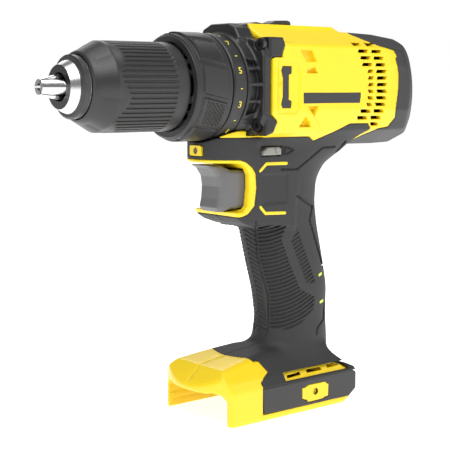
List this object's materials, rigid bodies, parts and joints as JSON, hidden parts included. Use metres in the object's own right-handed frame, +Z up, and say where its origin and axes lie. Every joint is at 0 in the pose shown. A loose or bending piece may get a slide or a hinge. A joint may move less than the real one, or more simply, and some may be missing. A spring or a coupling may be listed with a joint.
{
  "type": "cordless drill",
  "caption": "Pistol-grip cordless drill driver with a keyless chuck, torque collar, planetary gearbox, brushed motor and a battery foot without its battery.",
  "frame": {"origin": "on the spindle axis, in the plane of the chuck's flat nose", "axes": "-X out of the chuck towards the work, +Z up away from the handle, -Y to the user's left"},
  "size_m": [0.2242, 0.059, 0.1992],
  "materials": {
    "housing_yellow": "yellow glass-filled nylon with a fine moulded texture",
    "grip_rubber": "charcoal soft overmould, semi-matte",
    "cap_grey": "dark grey moulded nylon",
    "case_black": "near-black moulded nylon",
    "trigger_grey": "mid-grey moulded plastic",
    "lever_grey": "light warm grey moulded plastic",
    "chuck_steel": "polished steel",
    "screw_steel": "blackened steel",
    "gear_steel": "sintered steel",
    "motor_zinc": "zinc-plated steel",
    "magnet": "ferrite",
    "copper": "copper or brass",
    "nylon_black": "black nylon",
    "led_lens": "clear lens",
    "lead_pvc": "PVC-insulated lead"
  },
  "bodies": {
    "root": {"housing_left": "housing_yellow", "housing_right": "housing_yellow", "grip_left": "grip_rubber", "grip_right": "grip_rubber", "end_cap": "cap_grey", "housing_screws": "screw_steel", "gear_case": "case_black", "spindle_bearing": "gear_steel", "fixed_ring_gears": "gear_steel", "motor_mount_plate": "gear_steel", "motor_can": "motor_zinc", "motor_magnets": "magnet", "motor_end_bell": "nylon_black", "motor_brushes": "magnet", "clutch_spring": "gear_steel", "clutch_washer": "gear_steel", "clutch_pins": "gear_steel", "switch_module": "nylon_black", "terminal_block": "nylon_black", "battery_terminals": "copper", "work_light_bezel": "housing_yellow", "work_light_led": "led_lens", "foot_panels": "grip_rubber", "accessory_pads": "housing_yellow", "accessory_inserts": "copper", "internal_leads": "lead_pvc"},
    "spindle": {"spindle": "gear_steel", "chuck_body": "chuck_steel", "chuck_front_ring": "case_black", "chuck_screw": "screw_steel"},
    "sleeve": {"chuck_sleeve": "case_black", "chuck_nut": "gear_steel"},
    "jaw_1": {"chuck_jaw_1": "chuck_steel"},
    "jaw_2": {"chuck_jaw_2": "chuck_steel"},
    "jaw_3": {"chuck_jaw_3": "chuck_steel"},
    "rotor": {"motor_shaft": "gear_steel", "motor_pinion": "gear_steel", "armature_core": "motor_zinc", "armature_windings": "copper", "commutator": "copper", "cooling_fan": "nylon_black"},
    "carrier_1": {"planet_carrier_1": "gear_steel"},
    "carrier_2": {"planet_carrier_2": "gear_steel"},
    "collar": {"torque_collar": "case_black", "number_ring": "case_black"},
    "clutch_nut": {"clutch_nut": "gear_steel"},
    "selector": {"speed_selector": "case_black", "shift_fork": "gear_steel", "shift_ring_gear": "gear_steel"},
    "trigger": {"trigger": "trigger_grey"},
    "direction_lever": {"direction_lever": "lever_grey"},
    "planet_1_1": {"planet_1_1": "gear_steel"},
    "planet_1_2": {"planet_1_2": "gear_steel"},
    "planet_1_3": {"planet_1_3": "gear_steel"},
    "planet_2_1": {"planet_2_1": "gear_steel"},
    "planet_2_2": {"planet_2_2": "gear_steel"},
    "planet_2_3": {"planet_2_3": "gear_steel"},
    "planet_3_1": {"planet_3_1": "gear_steel"},
    "planet_3_2": {"planet_3_2": "gear_steel"},
    "planet_3_3": {"planet_3_3": "gear_steel"}
  },
  "joints": [
    {"name": "chuck_spin", "type": "hinge", "parent": "root", "child": "spindle", "pos_m": [0, 0, 0], "axis": [1, 0, 0], "continuous": true},
    {"name": "sleeve_turn", "type": "hinge", "parent": "spindle", "child": "sleeve", "pos_m": [0, 0, 0], "axis": [-1, 0, 0], "range_deg": [0, 4632]},
    {"name": "jaw_1_slide", "type": "slide", "parent": "spindle", "child": "jaw_1", "axis": [0.9659, 0.1294, 0.2241], "range_m": [0, 0.0193]},
    {"name": "jaw_2_slide", "type": "slide", "parent": "spindle", "child": "jaw_2", "axis": [0.9659, -0.2588, 0], "range_m": [0, 0.0193]},
    {"name": "jaw_3_slide", "type": "slide", "parent": "spindle", "child": "jaw_3", "axis": [0.9659, 0.1294, -0.2241], "range_m": [0, 0.0193]},
    {"name": "carrier_2_spin", "type": "hinge", "parent": "root", "child": "carrier_2", "pos_m": [0, 0, 0], "axis": [1, 0, 0], "continuous": true},
    {"name": "carrier_1_spin", "type": "hinge", "parent": "root", "child": "carrier_1", "pos_m": [0, 0, 0], "axis": [1, 0, 0], "continuous": true},
    {"name": "rotor_spin", "type": "hinge", "parent": "root", "child": "rotor", "pos_m": [0, 0, 0], "axis": [1, 0, 0], "continuous": true},
    {"name": "planet_1_1_spin", "type": "hinge", "parent": "carrier_1", "child": "planet_1_1", "pos_m": [0.1, 0.012, 0], "axis": [1, 0, 0], "continuous": true},
    {"name": "planet_1_2_spin", "type": "hinge", "parent": "carrier_1", "child": "planet_1_2", "pos_m": [0.1, -0.006, 0.01039], "axis": [1, 0, 0], "continuous": true},
    {"name": "planet_1_3_spin", "type": "hinge", "parent": "carrier_1", "child": "planet_1_3", "pos_m": [0.1, -0.006, -0.01039], "axis": [1, 0, 0], "continuous": true},
    {"name": "planet_2_1_spin", "type": "hinge", "parent": "carrier_2", "child": "planet_2_1", "pos_m": [0.1, 0.0132, 0], "axis": [1, 0, 0], "continuous": true},
    {"name": "planet_2_2_spin", "type": "hinge", "parent": "carrier_2", "child": "planet_2_2", "pos_m": [0.1, -0.0066, 0.01143], "axis": [1, 0, 0], "continuous": true},
    {"name": "planet_2_3_spin", "type": "hinge", "parent": "carrier_2", "child": "planet_2_3", "pos_m": [0.1, -0.0066, -0.01143], "axis": [1, 0, 0], "continuous": true},
    {"name": "planet_3_1_spin", "type": "hinge", "parent": "spindle", "child": "planet_3_1", "pos_m": [0.1, 0.0132, 0], "axis": [1, 0, 0], "continuous": true},
    {"name": "planet_3_2_spin", "type": "hinge", "parent": "spindle", "child": "planet_3_2", "pos_m": [0.1, -0.0066, 0.01143], "axis": [1, 0, 0], "continuous": true},
    {"name": "planet_3_3_spin", "type": "hinge", "parent": "spindle", "child": "planet_3_3", "pos_m": [0.1, -0.0066, -0.01143], "axis": [1, 0, 0], "continuous": true},
    {"name": "collar_turn", "type": "hinge", "parent": "root", "child": "collar", "pos_m": [0, 0, 0], "axis": [1, 0, 0], "range_deg": [-144, 126]},
    {"name": "clutch_nut_slide", "type": "slide", "parent": "collar", "child": "clutch_nut", "axis": [1, 0, 0], "range_m": [-0.002, 0.00175], "deforming": ["clutch_spring"]},
    {"name": "selector_slide", "type": "slide", "parent": "root", "child": "selector", "axis": [1, 0, 0], "range_m": [0, 0.004]},
    {"name": "trigger_pull", "type": "slide", "parent": "root", "child": "trigger", "axis": [1, 0, 0], "range_m": [0, 0.007], "stiffness_N_per_m": 800, "springref_m": -0.004},
    {"name": "direction_slide", "type": "slide", "parent": "root", "child": "direction_lever", "axis": [0, 1, 0], "range_m": [-0.0025, 0.0025]}
  ],
  "couplings": [
    {"joint": "jaw_1_slide", "follows": "sleeve_turn", "m_per_rad": 0.00023872},
    {"joint": "jaw_2_slide", "follows": "sleeve_turn", "m_per_rad": 0.00023872},
    {"joint": "jaw_3_slide", "follows": "sleeve_turn", "m_per_rad": 0.00023872},
    {"joint": "carrier_2_spin", "follows": "chuck_spin", "ratio": 3.6667},
    {"joint": "carrier_1_spin", "follows": "chuck_spin", "ratio": 13.444},
    {"joint": "rotor_spin", "follows": "chuck_spin", "ratio": 67.222},
    {"joint": "clutch_nut_slide", "follows": "collar_turn", "m_per_rad": 0.00079577},
    {"joint": "planet_3_1_spin", "follows": "chuck_spin", "ratio": -3.2},
    {"joint": "planet_2_1_spin", "follows": "chuck_spin", "ratio": -11.733},
    {"joint": "planet_1_1_spin", "follows": "chuck_spin", "ratio": -35.852},
    {"joint": "planet_3_2_spin", "follows": "chuck_spin", "ratio": -3.2},
    {"joint": "planet_2_2_spin", "follows": "chuck_spin", "ratio": -11.733},
    {"joint": "planet_1_2_spin", "follows": "chuck_spin", "ratio": -35.852},
    {"joint": "planet_3_3_spin", "follows": "chuck_spin", "ratio": -3.2},
    {"joint": "planet_2_3_spin", "follows": "chuck_spin", "ratio": -11.733},
    {"joint": "planet_1_3_spin", "follows": "chuck_spin", "ratio": -35.852}
  ]
}
